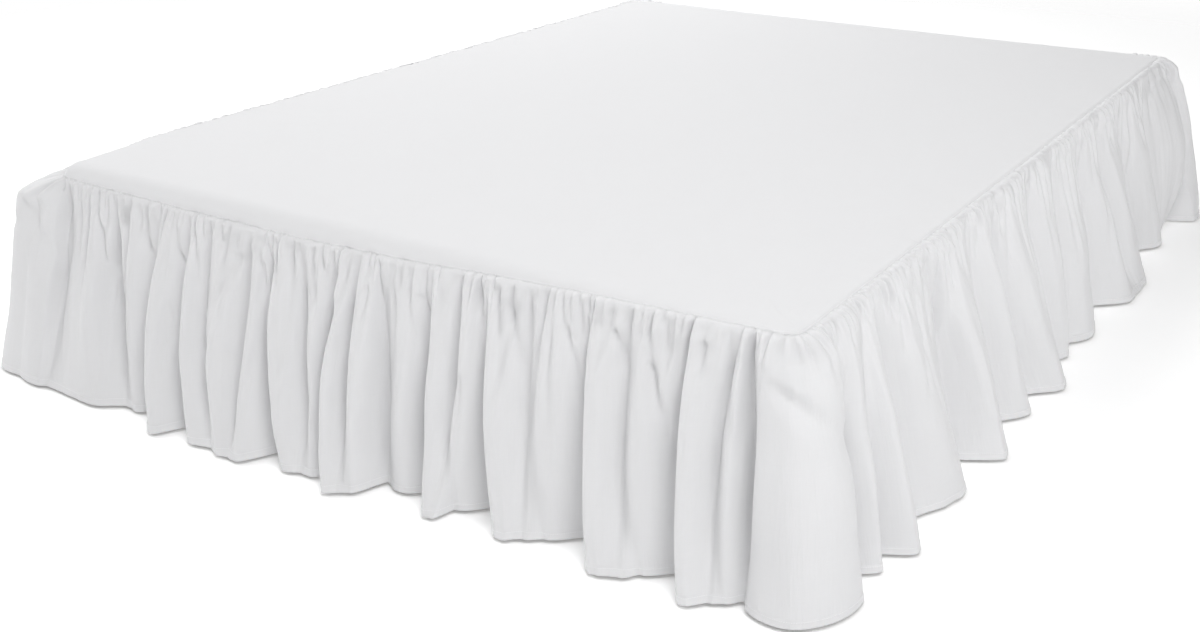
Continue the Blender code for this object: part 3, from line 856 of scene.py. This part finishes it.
def ruffle_cloth(side, folds, gathers, creases, strand):
    """Points of a ruffle by column and row, and each one's place on the flat cloth."""
    columns = ruffle_columns(side, deepened(folds))
    rows = ROW_COUNT + len(HEM_ROWS)
    first, last = folds[0].seam, folds[-1].seam
    fall = deck_top - HEM_HEIGHT
    grid = []
    for row in range(rows):
        line = []
        for column in columns:
            sink = seam_drop(side, column.seam)
            slope = roll_angle(sink)
            total = fall - sink
            if row < ROW_COUNT:
                drop = (total - HEM_ROWS[0]) * (row / ROW_COUNT) ** ROW_CROWDING
            else:
                drop = total - HEM_ROWS[row - ROW_COUNT]
            middle_part = MIDDLE_DROP / total
            low_run, high_run = (
                curve_through(fold.seam, fold.middle, fold.hem, middle_part, drop / total)
                for fold in (column.low, column.high)
            )
            run = mix(low_run, high_run, column.part)
            reach = fold_between(
                fold_reach(column.low, drop, total, slope),
                fold_reach(column.high, drop, total, slope),
                column.part,
                mix(0.5, 0.7, min(drop / 0.3, 1)),
            )
            line.append([run, drop, reach, slope, sink, column.seam])
        grid.append(line)
    gather_runs = [gather.run for gather in gathers]
    for crease in gathers + creases:
        for line in grid:
            runs = [point[0] for point in line]
            reach_of = 1.5 * crease.width + abs(crease.to_run - crease.run)
            low = bisect.bisect_left(runs, min(crease.run, crease.to_run) - reach_of)
            high = bisect.bisect_right(runs, max(crease.run, crease.to_run) + reach_of)
            for point in line[low:high]:
                start_fade = min(point[2] / DENT_START, 1)
                point.append(crease_depth(crease, point[0], point[1]) * start_fade)
    spots = []
    for row, line in enumerate(grid):
        placed = []
        for run, drop, reach, slope, sink, seam, *dents in line:
            ends = min((seam - first) / END_FADE, (last - seam) / END_FADE, 1)
            wander = WANDER * noise.noise(Vector((seam * 16, drop * 7, strand)))
            wander += FINE_WANDER * noise.noise(Vector((seam * 45, drop * 11, strand + 9)))
            wander *= min(drop / WANDER_START, 1)
            rise = mix(0.28, 1, min(drop / PUFF_DROP, 1) ** 0.6)
            rise *= math.exp(-max(drop - PUFF_DROP, 0) / PUFF_FADE)
            bead = PUFF_HEIGHT * rise * puff(gather_runs, seam)
            lift = PUFF_LIFT * bead * max(1 - drop / (4 * PUFF_DROP), 0)
            out = reach + ends * (wander - min(sum(dents), DENT_LIMIT) + bead)
            seam_height = deck_top - sink
            up = seam_height - drop + ends * lift
            if row == 0:
                tuck = SEAM_TUCK * (0.5 + puff(gather_runs, seam))
                over = seam_height + GAP + tuck * math.sin(slope)
                placed.append((*place(side, run, -tuck * math.cos(slope)), over))
                continue
            from_hem = deck_top - HEM_HEIGHT - sink - drop
            if from_hem < HEM_DEPTH:
                out += HEM_SWELL + ends * HEM_PUCKER * ripple(run, HEM_PUCKER_PITCH, strand + 3)
            placed.append((*place(side, run, max(out, GAP)), up))
        spots.append(placed)
    return columns, spots


ruffle_cotton = cotton_finish("ruffle cotton", (0.016, 0.14), 0.0016)


def make_ruffle(node, side, folds, creases, seed):
    """One gathered length of cotton with its hem stitching."""
    gathers = seam_creases(folds, seed, GATHER_PITCH, GATHER_LENGTH, GATHER_WIDTH, GATHER_DEPTH,
                           GATHER_LEAN)
    pleats = seam_creases(folds, seed + 10, PLEAT_PITCH, PLEAT_LENGTH, PLEAT_WIDTH, PLEAT_DEPTH,
                          PLEAT_LEAN)
    # The fan of cloth round the side's last corner lies smooth.
    pleats = [pleat for pleat in pleats if pleat.run < side.length - CORNER_RADIUS]
    columns, spots = ruffle_cloth(side, folds, gathers, creases + pleats, seed)
    measured_row = spots[FLAT_ROW]
    width = [0]
    for start, end in zip(measured_row, measured_row[1:]):
        width.append(width[-1] + math.dist(start, end))

    def unroll(column, row):
        return width[column], spots[row][column][2]

    builder = sheet_grid(len(columns), len(spots), lambda column, row: spots[row][column], unroll)
    ruffle = cloth_object(node + "_cloth", builder, ruffle_cotton)
    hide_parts(node)
    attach(ruffle, "root")
    hem_line = [Vector(spot) for spot in spots[ROW_COUNT + HEM_STITCH_ROW]]
    stitching = stitches(node + "_hem_stitching", hem_line)
    return ruffle


to_right = CORNER_RADIUS * 2 - CORNER_ARC - FOOT.length
to_left = LEFT.length + CORNER_ARC - CORNER_RADIUS * 2
right_folds = [carried_on(FOOT_FOLDS[-1], to_right + GAP), *RIGHT_FOLDS]
left_folds = [*LEFT_FOLDS, carried_on(FOOT_FOLDS[0], to_left - GAP)]
make_ruffle("ruffle_foot", FOOT, FOOT_FOLDS, FOOT_CREASES, 1)
make_ruffle("ruffle_right", RIGHT, right_folds, [], 2)
make_ruffle("ruffle_left", LEFT, left_folds, [], 3)


# ---- studio -------------------------------------------------------------------------------------
# A plain white floor that fades into a white backdrop all round, under soft boxes overhead, to
# both sides and in front.  Their powers suit this cotton, which is greyer than real sheeting.
FLOOR_RADIUS = 4.4
FLOOR_FADE = 2.7            # width of the rim over which the floor fades out
BACKDROP_TOP = 0.14         # sine of the height up to which the backdrop is white
BACKDROP_FADE = 0.22
CEILING_LIGHT = 0.06
CAMERA_PLACE = (1.4764, -2.5398, 1.1301)
CAMERA_TURN = math.radians(31.796)      # to the left of straight along the bed
CAMERA_DIP = math.radians(22.692)
CAMERA_LENS = 41.67
CAMERA_SHIFT = -0.0357

floor_builder = bmesh.new()
bmesh.ops.create_circle(floor_builder, cap_ends=True, segments=96, radius=FLOOR_RADIUS)
floor_finish = Finish("floor", Base_Color=(0.97, 0.97, 0.97, 1), Roughness=0.9,
                      Emission_Color=(1, 1, 1, 1), Emission_Strength=0.16)
floor_place = floor_finish.node("ShaderNodeTexCoord", output=3)
from_middle = floor_finish.node("ShaderNodeVectorMath", {"operation": "LENGTH"}, {0: floor_place},
                                output=1)
floor_finish.feed(floor_finish.shader, {"Alpha": (FLOOR_RADIUS - from_middle) * (1 / FLOOR_FADE)})
floor = solid_object("floor", floor_builder, floor_finish)
floor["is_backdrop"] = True

camera_data = bpy.data.cameras.new("camera")
camera_data.lens = CAMERA_LENS
camera_data.shift_x = CAMERA_SHIFT
camera_data.clip_end = 200
camera = bpy.data.objects.new("camera", camera_data)
camera.location = CAMERA_PLACE
camera.rotation_euler = (math.pi / 2 - CAMERA_DIP, 0, CAMERA_TURN)
bpy.context.scene.collection.objects.link(camera)
bpy.context.scene.camera = camera

world = bpy.data.worlds.new("studio")
world.use_nodes = True
backdrop = world.node_tree.nodes
look_way = backdrop.new("ShaderNodeTexCoord")
height_of = backdrop.new("ShaderNodeSeparateXYZ")
shade_of = backdrop.new("ShaderNodeMapRange")
shade_of.inputs["From Min"].default_value = BACKDROP_TOP
shade_of.inputs["From Max"].default_value = BACKDROP_TOP + BACKDROP_FADE
shade_of.inputs["To Min"].default_value = 1
shade_of.inputs["To Max"].default_value = CEILING_LIGHT
world.node_tree.links.new(look_way.outputs["Generated"], height_of.inputs[0])
world.node_tree.links.new(height_of.outputs["Z"], shade_of.inputs["Value"])
world.node_tree.links.new(shade_of.outputs[0], backdrop["Background"].inputs["Color"])
bpy.context.scene.world = world
bpy.context.scene.view_settings.view_transform = "Standard"


def soft_light(name, place_at, aim, size, power):
    """A square soft box."""
    light = bpy.data.lights.new(name, "AREA")
    light.size = size
    light.energy = power
    lamp = bpy.data.objects.new(name, light)
    lamp.location = place_at
    lamp.rotation_euler = (Vector(aim) - Vector(place_at)).to_track_quat("-Z", "Y").to_euler()
    bpy.context.scene.collection.objects.link(lamp)


soft_light("overhead_head", (-2.2, 2.5, 3.5), (-0.3, 0.6, 0.4), 2.5, 140)
soft_light("overhead_foot", (1.5, -2.0, 4.0), (0.3, -0.3, 0.4), 2.5, 97)
soft_light("overhead_right", (4.0, -3.0, 4.0), (0.3, -0.3, 0.3), 2.5, 46)
soft_light("left", (-4.5, -1.5, 3.0), (-0.3, -0.3, 0.3), 2.0, 98)
soft_light("left_front", (-3.6, -3.4, 2.4), (-0.3, -0.5, 0.25), 1.5, 16)
soft_light("right", (4.0, -0.2, 1.2), (0.8, 0, 0.2), 1.5, 17)
soft_light("corner", (2.0, -3.0, 1.7), (0.6, -0.9, 0.2), 1.2, 10)

visual_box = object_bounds()
[[list(corner) for corner in box] for box in (cad_box, visual_box)]
